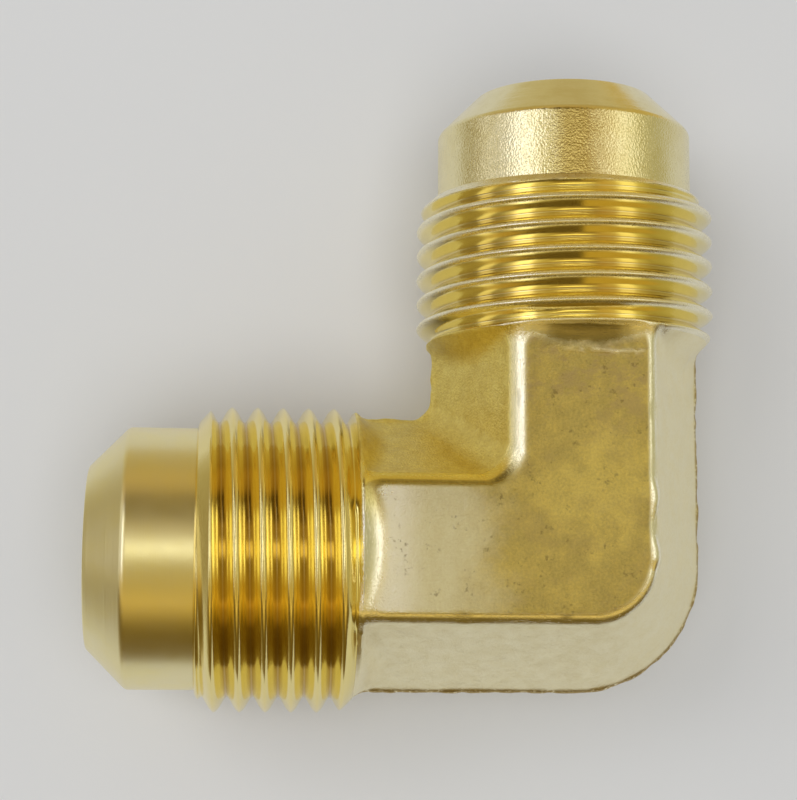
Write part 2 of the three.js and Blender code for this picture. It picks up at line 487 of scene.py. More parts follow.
def burr(points):
    """1 on the ragged line left by the trimming die at the end of the top leg's upper flat."""
    tall = points[..., 2] - AXIS_HEIGHT
    ragged = 0.16 * noise(points, 1.1, 21) + 0.14 * noise(points, 0.3, 23)
    off_line = points[..., 1] - BURR_STATION - ragged
    on_line = np.exp(-((off_line / BURR_HALF_WIDTH) ** 2)) * smooth_step(tall, 7.2, 7.8)
    along = smooth_step(points[..., 0], -1.9, 0.6) * smooth_step(-points[..., 0], -3.9, -3.3)
    return on_line * along * np.clip(0.6 + 0.8 * noise(points, 0.24, 22), 0.0, 1)


def relief(points, normals):
    """How far the forging's skin stands off its drawn shape, in millimetres."""
    tall = points[..., 2] - AXIS_HEIGHT
    left_end = LEFT_SPLIT + points[..., 0]
    top_end = TOP_SPLIT - points[..., 1]
    inside = smooth_step(np.minimum(left_end, top_end), 0.0, 1.6)
    waves = 0.022 * noise(points, 4.2, 11) + 0.007 * noise(points, 1.7, 12)
    grain = 0.0022 * noise(points, 0.62, 13) + 0.0016 * noise(points, 0.36, 14)
    upright = np.abs(normals[..., 2])
    sloping = smooth_step(1 - upright, 0.2, 0.4)
    hammered = sloping * (0.008 * noise(points, 0.9, 15) + 0.004 * noise(points, 0.4, 16))
    total = inside * (waves + grain + hammered)
    for centre, radius, height in DENTS:
        total = total + height * bump_at(points, centre, radius)
    total = total + BURR_HEIGHT * burr(points)

    flash = smooth_step(-np.abs(tall), -FLASH_HALF_HEIGHT * 1.7, -FLASH_HALF_HEIGHT * 0.6)
    torn = 0.07 + 0.05 * noise(points, 0.5, 17) + 0.04 * noise(points, 1.4, 18)
    clear = smooth_step(np.minimum(left_end, top_end), 0.5, 1.4)
    return total + flash * clear * np.clip(torn, 0.01, 0.16)


def drill(leg, name):
    """The closed shape that a twist drill takes out of a leg."""
    columns = 96
    blunt_tip = 0.02
    clear_of_elbow = 20.0
    tip = -BORE_PAST_CROSSING - BORE_RADIUS / math.tan(DRILL_HALF_ANGLE)
    turn = np.linspace(0, 2 * math.pi, columns, endpoint=False)
    outline = ((blunt_tip, tip), (BORE_RADIUS, -BORE_PAST_CROSSING), (BORE_RADIUS, clear_of_elbow))
    rings = []
    for radius, station in outline:
        far = np.full_like(turn, station)
        rings.append(leg.place(radius * np.cos(turn), radius * np.sin(turn), far))
    faces = ring_grid_faces(len(rings), columns).tolist()
    faces.append(list(range(columns))[::-1])
    faces.append([2 * columns + k for k in range(columns)])
    return make_object(name, np.concatenate(rings), faces)


def forged_elbow():
    """The forged body, with its skin relief, surface attributes and both bores."""
    rings = elbow_rings()
    normals = outward_normals(rings)
    shift = relief(rings, normals)
    points = rings + normals * shift[..., None]
    points[0] = rings[0]
    points[-1] = rings[-1]

    # Where each kind of surface is, from 0 to 1. The rim is the part of an edge next to the flat.
    tall = np.abs(rings[..., 2] - AXIS_HEIGHT)
    facing = np.abs(normals[..., 2])
    flat = smooth_step(facing, 0.93, 0.995) * smooth_step(tall, 7.7, 7.95)
    edge = smooth_step(facing, 0.5, 0.72) * smooth_step(-facing, -0.995, -0.93)
    edge = np.maximum(edge * smooth_step(tall, 6.9, 7.5), burr(rings))
    rim = smooth_step(facing, 0.84, 0.9) * smooth_step(-facing, -0.993, -0.965)
    rim = rim * smooth_step(tall, 6.9, 7.5)
    flash = smooth_step(-tall, -0.34, -0.16)
    inner = np.tile(smooth_step(-np.cos(elbow_angles()), 0.1, 0.45), (len(rings), 1))
    rows, columns = rings.shape[:2]
    faces = ring_grid_faces(rows, columns).tolist()
    faces.append(list(range(columns))[::-1])
    faces.append([(rows - 1) * columns + k for k in range(columns)])
    attributes = {"flat": flat, "edge": edge, "rim": rim, "flash": flash, "inner": inner}
    piece = make_object("forged_elbow_skin", points.reshape(-1, 3), faces, attributes)
    cut_away(piece, [drill(LEFT, "left_drill"), drill(TOP, "top_drill")])
    smooth_but_sharp(piece, 50)
    return piece


# ---------------------------------------------------------------- threads

THREAD_COLUMNS = 320
THREAD_ROW_SPACING = 0.05
CLOSE_ROWS_LENGTH = 0.3  # rows stand closer together this near to the nose


def thread_piece(leg, name):
    """A threaded stretch, from the elbow to the nose, with its bore and its groove depths."""
    turn = np.linspace(0, 2 * math.pi, THREAD_COLUMNS, endpoint=False)
    step_start = NOSE_START - CLOSE_ROWS_LENGTH
    body_rows = even_steps(leg.split, step_start, THREAD_ROW_SPACING)
    step_rows = even_steps(step_start, NOSE_START, THREAD_ROW_SPACING / 3)
    stations = np.concatenate([body_rows, step_rows[1:]])
    angle, station = np.meshgrid(turn, stations)

    def field(across, up):
        return leg_field(leg, across, up, station)

    reach = reach_along_rays(field, angle)
    rows = [leg.place(reach * np.cos(angle), reach * np.sin(angle), station)]
    cone = shoulder_cone(leg, np.cos(angle), np.sin(angle), station)
    uncut = np.minimum(CREST_RADIUS, np.minimum(lead_in_radius(station), cone))
    depth = np.clip((uncut - reach) / THREAD_DEPTH, 0, 1)
    for far in (NOSE_START, leg.split):
        across = BORE_RADIUS * np.cos(turn)
        up = BORE_RADIUS * np.sin(turn)
        rows.append(leg.place(across, up, np.full_like(turn, far))[None])
    points = np.concatenate(rows)
    depths = np.concatenate([depth, np.zeros((2, THREAD_COLUMNS))])
    faces = ring_grid_faces(len(points), THREAD_COLUMNS, wrap=True).tolist()
    piece = make_object(name, points.reshape(-1, 3), faces, {"groove": depths})
    smooth_but_sharp(piece, 55)
    return piece


# ---------------------------------------------------------------- flare noses

NOSE_COLUMNS = 256
NOSE_POINT_SPACING = 0.09


def rounded_outline(corners, steps=6):
    """Outline points (radius, station) with each corner rounded by its own radius."""
    outline = []
    for index, (corner, rounding) in enumerate(corners):
        corner = np.array(corner, float)
        if rounding == 0:
            outline.append(corner)
            continue
        before = np.array(corners[index - 1][0], float) - corner
        after = np.array(corners[(index + 1) % len(corners)][0], float) - corner
        start = corner + before / np.linalg.norm(before) * rounding
        end = corner + after / np.linalg.norm(after) * rounding
        for t in np.linspace(0, 1, steps):
            outline.append((1 - t) ** 2 * start + 2 * t * (1 - t) * corner + t**2 * end)
    return np.array(outline)


def split_long_steps(outline, spacing):
    """More points along an outline, so that none are further apart than the spacing."""
    points = []
    for here, there in zip(outline, np.roll(outline, -1, axis=0)):
        steps = max(1, int(math.ceil(np.linalg.norm(there - here) / spacing)))
        for k in range(steps):
            points.append(here + (there - here) * k / steps)
    return np.array(points)


def nose_piece(leg, name, tool_mark_height):
    """A flare nose, turned from its outline, with faint tool marks on its outside."""
    corners = [
        ((NOSE_RADIUS, NOSE_START), 0),
        ((NOSE_RADIUS, CONE_START), 0.22),
        ((END_FACE_RADIUS, FACE_DISTANCE), 0.1),
        ((BORE_RADIUS + BORE_MOUTH_CHAMFER, FACE_DISTANCE), 0.06),
        ((BORE_RADIUS, FACE_DISTANCE - BORE_MOUTH_CHAMFER), 0.05),
        ((BORE_RADIUS, NOSE_START), 0),
    ]
    outline = split_long_steps(rounded_outline(corners), NOSE_POINT_SPACING)
    turn = np.linspace(0, 2 * math.pi, NOSE_COLUMNS, endpoint=False)
    rows = []
    for radius, station in outline:
        marked = radius > BORE_RADIUS + 1e-6 and NOSE_START < station < FACE_DISTANCE - 1e-6
        wave = math.sin(station * 37.0) * math.sin(station * 5.3)
        cut = tool_mark_height * abs(wave) if marked else 0
        across = (radius - cut) * np.cos(turn)
        up = (radius - cut) * np.sin(turn)
        rows.append(leg.place(across, up, np.full_like(turn, station)))
    faces = ring_grid_faces(len(rows), NOSE_COLUMNS, wrap=True).tolist()
    piece = make_object(name, np.concatenate(rows), faces)
    smooth_but_sharp(piece, 38)
    return piece


# ---------------------------------------------------------------- materials

BRASS = (0.905, 0.815, 0.48, 1)
# Paler brass on the outer sides: a painted reflection of the pale surroundings.
OUTER_SHEEN_BRASS = (0.98, 0.91, 0.63, 1)
# Near-white edges: a painted highlight, partly rubbed polish.
EDGE_HIGHLIGHT = (0.98, 0.94, 0.76, 1)
GOLD = (0.97, 0.83, 0.26, 1)
# Darker gold on the inner sides: painted shade between the legs.
INNER_SHADE_GOLD = (0.66, 0.49, 0.10, 1)
LEFT_CREST = (0.93, 0.79, 0.34, 1)
LEFT_GROOVE = (0.93, 0.78, 0.27, 1)
TOP_CREST = (0.96, 0.91, 0.70, 1)
TOP_GROOVE = (0.92, 0.80, 0.36, 1)
# Dark brown in the thread roots: painted shade.
ROOT_SHADE = (0.50, 0.33, 0.10, 1)
PATINA = (0.72, 0.59, 0.19, 1)
OLIVE_PATINA = (0.45, 0.37, 0.14, 1)
# Dark brown at the foot of the top leg's shoulder: a painted shadow.
SHOULDER_SHADOW_BROWN = (0.27, 0.225, 0.10, 1)
BROWN_PATINA = (0.50, 0.39, 0.19, 1)
RUBBED_GOLD = (0.82, 0.69, 0.22, 1)
WORN_FLAT = (0.82, 0.80, 0.61, 1)
WORN_SHADE = (0.70, 0.65, 0.43, 1)
# Near-white at the left leg's end: a painted glow.
LEFT_END_GLOW = (0.95, 0.95, 0.90, 1)
# Dark band along the top nose's cylinder: a painted reflection.
NOSE_DARK_REFLECTION = (0.62, 0.48, 0.17, 1)
TORN_FLASH = (0.44, 0.31, 0.10, 1)
SPECK = (0.22, 0.17, 0.08, 1)


class Graph:
    """A few words for building a material's nodes."""

    def __init__(self, name):
        self.material = bpy.data.materials.new(name)
        self.material.use_nodes = True
        self.tree = self.material.node_tree
        self.tree.nodes.clear()
        self.shader = self.tree.nodes.new("ShaderNodeBsdfPrincipled")
        output = self.tree.nodes.new("ShaderNodeOutputMaterial")
        self.tree.links.new(self.shader.outputs[0], output.inputs[0])
        self.shader.inputs["Metallic"].default_value = 1.0
        place = self.tree.nodes.new("ShaderNodeTexCoord")
        self.place = self.scaled(place.outputs["Object"], (PER_METRE,) * 3)

    def link(self, source, target):
        if hasattr(source, "is_linked"):
            self.tree.links.new(source, target)
        else:
            target.default_value = source

    def scaled(self, vector, scale):
        node = self.tree.nodes.new("ShaderNodeVectorMath")
        node.operation = "MULTIPLY"
        self.link(vector, node.inputs[0])
        node.inputs[1].default_value = scale
        return node.outputs[0]

    def math(self, operation, first, second=0.0):
        node = self.tree.nodes.new("ShaderNodeMath")
        node.operation = operation
        self.link(first, node.inputs[0])
        self.link(second, node.inputs[1])
        return node.outputs[0]

    def noise(self, size, detail=2.0, roughness=0.55, stretch=(1, 1, 1), seed=0.0):
        """Fractal noise from 0 to 1 with features of the given size in millimetres."""
        node = self.tree.nodes.new("ShaderNodeTexNoise")
        node.noise_dimensions = "4D"
        place = self.scaled(self.place, tuple(1 / s for s in stretch))
        self.link(place, node.inputs["Vector"])
        node.inputs["W"].default_value = seed
        node.inputs["Scale"].default_value = 1 / size
        node.inputs["Detail"].default_value = detail
        node.inputs["Roughness"].default_value = roughness
        return node.outputs["Fac"]

    def cells(self, size):
        """Distance to the nearest of many scattered points, about the given size apart."""
        node = self.tree.nodes.new("ShaderNodeTexVoronoi")
        self.link(self.place, node.inputs["Vector"])
        node.inputs["Scale"].default_value = 1 / size
        return node.outputs["Distance"]

    def range(self, value, low, high, to_low=0.0, to_high=1.0):
        """A smooth step: to_low where the value is low, to_high where it is high."""
        node = self.tree.nodes.new("ShaderNodeMapRange")
        node.interpolation_type = "SMOOTHSTEP"
        self.link(value, node.inputs["Value"])
        for socket, number in zip(node.inputs[1:5], (low, high, to_low, to_high)):
            socket.default_value = number
        return node.outputs["Result"]

    def attribute(self, name):
        node = self.tree.nodes.new("ShaderNodeAttribute")
        node.attribute_name = name
        return node.outputs["Fac"]

    def mix(self, share, first, second):
        node = self.tree.nodes.new("ShaderNodeMix")
        node.data_type = "RGBA"
        self.link(share, node.inputs["Factor"])
        self.link(first, node.inputs[6])
        self.link(second, node.inputs[7])
        return node.outputs[2]

    def bump(self, height, distance, under=None):
        """Bump of a height from 0 to 1, whose full height is the distance in millimetres."""
        node = self.tree.nodes.new("ShaderNodeBump")
        node.inputs["Strength"].default_value = 1.0
        node.inputs["Distance"].default_value = distance * MM
        self.link(height, node.inputs["Height"])
        if under is not None:
            self.tree.links.new(under, node.inputs["Normal"])
        return node.outputs["Normal"]

    def product(self, *factors):
        """The factors multiplied in turn."""
        total = factors[0]
        for factor in factors[1:]:
            total = self.math("MULTIPLY", total, factor)
        return total

    def total(self, *parts):
        """The parts added in turn."""
        total = parts[0]
        for part in parts[1:]:
            total = self.math("ADD", total, part)
        return total

    def away_from(self, value, middle):
        """How far a value is from the middle, either way."""
        return self.math("ABSOLUTE", self.math("SUBTRACT", value, middle))

    def finish(self, colour, roughness, normal):
        self.link(colour, self.shader.inputs["Base Color"])
        self.link(roughness, self.shader.inputs["Roughness"])
        self.link(normal, self.shader.inputs["Normal"])
        return self.material

    def separate(self):
        """The place in the row frame, as x, y and z in millimetres."""
        node = self.tree.nodes.new("ShaderNodeSeparateXYZ")
        self.link(self.place, node.inputs[0])
        return node.outputs


def forged_brass():
    """Forged brass, told apart into flats, edges, sides and flash by the skin's attributes."""
    g = Graph("forged_brass")
    flat = g.attribute("flat")
    edge = g.attribute("edge")
    rim = g.attribute("rim")
    flash = g.attribute("flash")
    inner = g.attribute("inner")
    x, y, z = g.separate()

    # Sloping sides: paler outside the bend, a painted reflection of the pale surroundings; deeper
    # gold and sandy inside it, with painted shade between the legs.
    tarnish = g.range(g.noise(1.1, 4, 0.6, seed=5), 0.35, 0.7)
    sandy = g.range(g.noise(0.16, 3, 0.7, seed=6), 0.4, 0.65)
    outer_side_sheen = g.mix(g.product(tarnish, 0.25), OUTER_SHEEN_BRASS, BRASS)
    outer_side_sheen = g.mix(g.product(sandy, 0.12), outer_side_sheen, PATINA)
    inner_side_shade = g.mix(g.product(tarnish, 0.4), GOLD, INNER_SHADE_GOLD)
    inner_side_shade = g.mix(g.product(sandy, 0.45), inner_side_shade, INNER_SHADE_GOLD)
    side = g.mix(inner, outer_side_sheen, inner_side_shade)

    # Wrench flats: olive patina with soft blotches and streaks, rubbed golden in the middle of
    # the body and worn pale along the left leg, with a painted near-white glow at the leg's end.
    cloud = g.range(g.noise(1.8, 5, 0.6), 0.35, 0.65)
    streaks = g.range(g.noise(0.55, 4, 0.6, stretch=(1, 2.4, 1), seed=3), 0.3, 0.7)
    fleck = g.range(g.noise(0.16, 3, 0.7, seed=4), 0.35, 0.65)
    olive = g.total(g.product(cloud, 0.35), g.product(streaks, 0.25), g.product(fleck, 0.4))
    patina = g.mix(olive, PATINA, OLIVE_PATINA)
    blotches = g.range(g.noise(1.3, 5, 0.7, stretch=(1.6, 1, 1), seed=12), 0.48, 0.62)
    up_top_leg = g.range(y, 5.5, 11.5, 0.25, 0.85)
    patina = g.mix(g.product(blotches, up_top_leg), patina, BROWN_PATINA)
    off_middle = g.total(g.away_from(y, 4.0), g.away_from(x, 0.8), g.product(cloud, 4.0))
    in_middle = g.range(off_middle, 2.0, 9.0, 0.65, 0.0)
    rubbed = g.product(in_middle, g.range(fleck, 0.0, 1.0, 1.0, 0.6))
    patina = g.mix(rubbed, patina, RUBBED_GOLD)
    drift = g.total(x, g.product(g.noise(3.2, 5, 0.6, seed=16), 6.0))
    worn = g.range(drift, -5.4, -0.6, 1.0, 0.0)
    worn_share = g.total(g.product(fleck, 0.35), g.product(streaks, 0.35))
    pale = g.mix(worn_share, WORN_FLAT, WORN_SHADE)
    pale = g.mix(g.range(x, -11.6, -9.2, 0.95, 0.0), pale, LEFT_END_GLOW)
    top = g.mix(worn, patina, pale)
    speck_places = g.range(g.noise(1.4, 2, 0.5, seed=8), 0.52, 0.6)
    specks = g.product(g.range(g.noise(0.3, 3, 0.6, seed=7), 0.56, 0.68), speck_places)
    top = g.mix(g.product(specks, 0.55), top, SPECK)

    # Painted highlights on the edges all round, near-white and partly rubbed polish, golden with a
    # dark rim on the inner side of the left leg; a painted glow on the sides at the left end.
    left_end_glow = g.product(g.range(x, -12.7, -11.9, 1.0, 0.0), g.range(z, 15.6, 16.0))
    side = g.mix(left_end_glow, side, LEFT_END_GLOW)
    colour = g.mix(flat, side, top)
    inner_left = g.product(inner, g.range(x, -5.2, -3.4, 1.0, 0.0))
    edge_highlight = g.mix(inner_left, EDGE_HIGHLIGHT, GOLD)
    colour = g.mix(g.product(edge, 0.95), colour, edge_highlight)
    colour = g.mix(g.product(rim, inner_left, 0.8), colour, OLIVE_PATINA)

    # A painted shadow of the overhanging shoulder on the top leg's upper flat, and torn brown flash
    # round the outside.
    ragged = g.product(g.noise(0.7, 4, 0.6, seed=14), 1.2)
    near_shoulder = g.range(g.total(y, ragged), 12.9, 13.7)
    off_shadow_middle = g.away_from(x, g.math("SUBTRACT", ragged, 0.6))
    shoulder_shadow = g.product(near_shoulder, g.range(off_shadow_middle, 1.6, 3.6, 0.9, 0.0))
    shoulder_shadow = g.product(shoulder_shadow, g.range(z, 15.4, 15.9))
    colour = g.mix(shoulder_shadow, colour, SHOULDER_SHADOW_BROWN)
    torn = g.range(g.noise(0.22, 3, 0.6, seed=9), 0.32, 0.5)
    outside = g.math("SUBTRACT", 1.0, inner)
    colour = g.mix(g.product(flash, torn, outside), colour, TORN_FLASH)

    # Rougher flats, smoother edges, and a polished left end.
    rough = g.range(g.noise(0.8, 4, 0.6, seed=11), 0.3, 0.7, 0.30, 0.42)
    rough = g.total(rough, g.product(flat, 0.05), g.product(edge, -0.18))
    polish = g.range(x, -12.4, -9.5, 0.1, 0.0)
    rough = g.math("SUBTRACT", rough, g.product(flat, polish))

    # Sandy grain, small pits and fine scratches both ways.
    grain_height = g.total(0.35, g.product(flat, 0.3), g.product(inner, 0.65))
    grain_height = g.product(grain_height, g.range(edge, 0.0, 1.0, 1.0, 0.3))
    grain = g.bump(g.product(g.noise(0.14, 3, 0.7, seed=13), grain_height), 0.085)
    pits = g.bump(g.range(g.cells(0.5), 0.0, 0.2), 0.006, under=grain)
    scratch_one = g.noise(0.07, 2, 0.5, stretch=(18, 1, 1), seed=17)
    scratch_two = g.noise(0.07, 2, 0.5, stretch=(1, 18, 1), seed=19)
    marks = g.total(g.range(scratch_one, 0.60, 0.70), g.range(scratch_two, 0.60, 0.70))
    normal = g.bump(marks, -0.004, under=pits)
    return g.finish(colour, rough, normal)


def lathe_lines(g, leg, size, seed):
    """Fine rings round a leg: noise that changes only along it."""
    stretch = (1, 400, 400) if leg is LEFT else (400, 1, 400)
    return g.noise(size, 2, 0.6, stretch=stretch, seed=seed)


def threaded_brass(leg, name, crest_brass, groove_brass, roughness, nick_height, root_shade_share):
    """Nicked crests over polished flanks, and painted shade in the roots, told apart by the
    groove's depth.
    """
    crest_roughness, flank_roughness = roughness
    g = Graph(name)
    groove = g.attribute("groove")
    stain = g.range(g.noise(1.1, 4, 0.6, seed=21), 0.35, 0.7)
    colour = g.mix(g.range(groove, 0.05, 0.4), crest_brass, groove_brass)
    colour = g.mix(g.product(stain, 0.12), colour, PATINA)
    # Painted shade in the deepest part of the groove.
    root = g.product(g.range(groove, 0.84, 1.0), root_shade_share)
    colour = g.mix(root, colour, ROOT_SHADE)

    def varied(size, seed, middle):
        """Roughness that varies by a fifth either way."""
        return g.range(g.noise(size, 3, 0.6, seed=seed), 0.3, 0.7, middle * 0.8, middle * 1.2)

    on_flank = g.range(groove, 0.06, 0.3)
    off_flank = g.math("SUBTRACT", 1.0, on_flank)
    crest_rough = g.product(varied(0.3, 23, crest_roughness), off_flank)
    flank_rough = g.product(varied(0.5, 24, flank_roughness), on_flank)
    rough = g.total(crest_rough, flank_rough)
    lines = g.bump(lathe_lines(g, leg, 0.07, 25), 0.0015)
    nicks = g.product(g.noise(0.13, 3, 0.7, seed=26), off_flank)
    nicks = g.bump(nicks, nick_height, under=lines)
    tears = g.noise(0.08, 2, 0.6, stretch=(1, 5, 5) if leg is LEFT else (5, 1, 5), seed=27)
    normal = g.bump(tears, 0.002, under=nicks)
    return g.finish(colour, rough, normal)


def turned_brass():
    """Plain turned brass, for the left nose."""
    g = Graph("turned_brass")
    tarnish = g.range(g.noise(2.2, 4, 0.6, seed=31), 0.35, 0.7)
    colour = g.mix(g.product(tarnish, 0.25), BRASS, GOLD)
    rough = g.range(g.noise(0.9, 3, 0.6, seed=33), 0.3, 0.7, 0.28, 0.31)
    lines = g.bump(lathe_lines(g, LEFT, 0.07, 35), 0.007)
    fine = g.noise(0.1, 2, 0.6, stretch=(1, 4, 4), seed=37)
    normal = g.bump(fine, 0.0025, under=lines)
    return g.finish(colour, rough, normal)


def grained_brass():
    """Brass with a grained cylinder and a smooth turned cone, for the top nose. A darker band along
    the cylinder's top is a painted dark reflection.
    """
    g = Graph("grained_brass")
    tarnish = g.range(g.noise(1.6, 4, 0.6, seed=41), 0.35, 0.7)
    across, along, _ = g.separate()
    colour = g.mix(g.range(tarnish, 0.0, 1.0, 0.0, 0.25), BRASS, PATINA)
    ragged = g.product(g.noise(0.8, 4, 0.6, seed=42), 1.2)
    off_reflection = g.total(g.away_from(across, -0.5), ragged)
    on_cylinder = g.range(along, CONE_START - 0.15, CONE_START + 0.05, 1.0, 0.12)
    # A painted dark reflection along the top of the cylinder.
    dark_reflection = g.product(g.range(off_reflection, 1.0, 2.4, 0.95, 0.0), on_cylinder)
    colour = g.mix(dark_reflection, colour, NOSE_DARK_REFLECTION)
    rough = g.range(g.noise(0.5, 3, 0.6, seed=43), 0.3, 0.7, 0.16, 0.24)
    lines = g.bump(lathe_lines(g, TOP, 0.08, 45), 0.005)
    grains = g.total(g.noise(0.07, 1, 0.5, seed=47), g.cells(0.14))
    normal = g.bump(g.product(grains, on_cylinder), 0.015, under=lines)
    return g.finish(colour, rough, normal)


def clothe(piece, node, material):
    """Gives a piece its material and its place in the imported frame."""
    piece.data.materials.clear()
    piece.data.materials.append(material)
    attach(piece, "root")
    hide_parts(node)


# Crest brass, groove brass, roughness of crests and of flanks, depth of the nicks, share of painted
# shade in the roots.
LEFT_THREAD_LOOK = (LEFT_CREST, LEFT_GROOVE, (0.13, 0.15), 0.006, 0.9)
TOP_THREAD_LOOK = (TOP_CREST, TOP_GROOVE, (0.30, 0.12), 0.02, 0.4)

clothe(forged_elbow(), "forged_elbow", forged_brass())
for leg, side, thread_look, nose_slot, nose_brass, tool_marks in (
    (LEFT, "left", LEFT_THREAD_LOOK, "turned_brass", turned_brass(), 0.002),
    (TOP, "top", TOP_THREAD_LOOK, "grained_brass", grained_brass(), 0.004),
):
    thread = thread_piece(leg, f"{side}_thread_turns")
    cut_brass = threaded_brass(leg, f"{side}_threaded_brass", *thread_look)
    clothe(thread, f"{side}_thread", cut_brass)
    nose = nose_piece(leg, f"{side}_nose_cone", tool_marks)
    clothe(nose, f"{side}_flare_nose", nose_brass)

# ---------------------------------------------------------------- floor, lights and camera

# A sheet of pale paper under the object, and a table round it of the same colour.
SHEET = ((-0.044, -0.066), (0.100, 0.052))
TABLE_REACH = 8.0
PAPER = (0.80, 0.80, 0.79, 1)
PALER_PAPER = (0.82, 0.82, 0.81, 1)


def floor_piece(name, corners, faces, paper):
    """A flat piece of the floor, level with the lowest point of the object."""
    mesh = bpy.data.meshes.new(name)
    mesh.from_pydata([(x, y, CAD_BOUNDS[0][2]) for x, y in corners], [], faces)
    mesh.materials.append(paper)
    piece = bpy.data.objects.new(name, mesh)
    bpy.context.scene.collection.objects.link(piece)
    return piece


def pale_floor():
    """A sheet that the metal mirrors, and a table round it that it doesn't."""
    g = Graph("pale_paper")
    g.shader.inputs["Metallic"].default_value = 0.0
    g.shader.inputs["Specular IOR Level"].default_value = 0.0
    shade = g.range(g.noise(60, 2, 0.5), 0.3, 0.7)
    colour = g.mix(shade, PAPER, PALER_PAPER)
    normal = g.bump(g.noise(0.5, 2, 0.5), 0.002)
    paper = g.finish(colour, 0.8, normal)

    (west, south), (east, north) = SHEET
    sheet = [(west, south), (east, south), (east, north), (west, north)]
    table = [(x * TABLE_REACH, y * TABLE_REACH) for x, y in ((-1, -1), (1, -1), (1, 1), (-1, 1))]
    floor_piece("paper_sheet", sheet, [(0, 1, 2, 3)], paper)
    border = [(k, (k + 1) % 4, 4 + (k + 1) % 4, 4 + k) for k in range(4)]
    around = floor_piece("table_top", table + sheet, border, paper)
    around.visible_glossy = False


def panel_colour(colour):
    """A panel's colour as the background node takes it, before its strength."""
    return tuple(c / PANEL_STRENGTH for c in colour) + (1,)


def studio_world():
    """A soft white room for diffuse light, and a room of pale and warm panels for reflections."""
    world = bpy.data.worlds.new("soft_studio")
    bpy.context.scene.world = world
    world.use_nodes = True
    tree = world.node_tree
    tree.nodes.clear()

    def node(kind, **settings):
        made = tree.nodes.new(kind)
        for key, value in settings.items():
            setattr(made, key, value)
        return made

    place = node("ShaderNodeTexCoord")
    parts = node("ShaderNodeSeparateXYZ")
    tree.links.new(place.outputs["Generated"], parts.inputs[0])

    def turn_of(axis):
        angle = node("ShaderNodeMath", operation="ARCTAN2")
        tree.links.new(parts.outputs[axis], angle.inputs[0])
        tree.links.new(parts.outputs[2], angle.inputs[1])
        unit = node("ShaderNodeMath", operation="MULTIPLY_ADD")
        tree.links.new(angle.outputs[0], unit.inputs[0])
        unit.inputs[1].default_value = 0.5 / math.pi
        unit.inputs[2].default_value = 0.5
        return unit.outputs[0]

    def ramp_of(turn, stops):
        ramp = node("ShaderNodeValToRGB")
        tree.links.new(turn, ramp.inputs[0])
        ramp.color_ramp.interpolation = "LINEAR"
        elements = ramp.color_ramp.elements
        while len(elements) > 1:
            elements.remove(elements[-1])
        for index, (degrees, colour) in enumerate(stops):
            where = degrees / 360 + 0.5
            if index == 0:
                elements[0].position = where
                stop = elements[0]
            else:
                stop = elements.new(where)
            stop.color = panel_colour(colour)
        return ramp.outputs[0]

    def along(source, start, end):
        """A smooth step from 0 at the start to 1 at the end."""
        step = node("ShaderNodeMapRange", interpolation_type="SMOOTHSTEP")
        tree.links.new(source, step.inputs["Value"])
        step.inputs["From Min"].default_value = start
        step.inputs["From Max"].default_value = end
        return step.outputs[0]

    def product(first, second):
        multiply = node("ShaderNodeMath", operation="MULTIPLY")
        tree.links.new(first, multiply.inputs[0])
        tree.links.new(second, multiply.inputs[1])
        return multiply.outputs[0]

    # Reflections that look well aside see the left and right panels, except far back or ahead.
    across, forward = parts.outputs[0], parts.outputs[1]
    aside = node("ShaderNodeMath", operation="ABSOLUTE")
    tree.links.new(across, aside.inputs[0])
    to_sides = product(along(aside.outputs[0], 0.12, 0.42), along(forward, -0.35, -0.05))
    to_sides = product(to_sides, along(forward, 0.65, 0.45))
    panels = node("ShaderNodeMix", data_type="RGBA")
    tree.links.new(to_sides, panels.inputs["Factor"])
    tree.links.new(ramp_of(turn_of(1), FRONT_BACK_PANELS), panels.inputs[6])
    tree.links.new(ramp_of(turn_of(0), LEFT_RIGHT_PANELS), panels.inputs[7])

    to_far_panel = product(along(across, 0.08, 0.16), along(forward, 0.5, 0.6))
    to_far_panel = product(to_far_panel, along(forward, 0.9, 0.82))
    all_panels = node("ShaderNodeMix", data_type="RGBA")
    tree.links.new(to_far_panel, all_panels.inputs["Factor"])
    tree.links.new(panels.outputs[2], all_panels.inputs[6])
    all_panels.inputs[7].default_value = panel_colour(FAR_PANEL)
    room = node("ShaderNodeBackground")
    tree.links.new(all_panels.outputs[2], room.inputs["Color"])
    room.inputs["Strength"].default_value = PANEL_STRENGTH

    plain = node("ShaderNodeBackground")
    plain.inputs["Color"].default_value = SOFT_WHITE
    plain.inputs["Strength"].default_value = SOFT_LIGHT
    path = node("ShaderNodeLightPath")
    choice = node("ShaderNodeMixShader")
    tree.links.new(path.outputs["Is Glossy Ray"], choice.inputs[0])
    tree.links.new(plain.outputs[0], choice.inputs[1])
    tree.links.new(room.outputs[0], choice.inputs[2])
    output = node("ShaderNodeOutputWorld")
    tree.links.new(choice.outputs[0], output.inputs[0])
    world.cycles.sampling_method = "NONE"


PANEL_STRENGTH = 4.0
SOFT_LIGHT = 0.30
SOFT_WHITE = (0.98, 0.985, 1.0, 1)
PALE = (0.62, 0.62, 0.60)
# A warm panel high up beyond the top leg, on the right.
FAR_PANEL = (0.55, 0.42, 0.15)
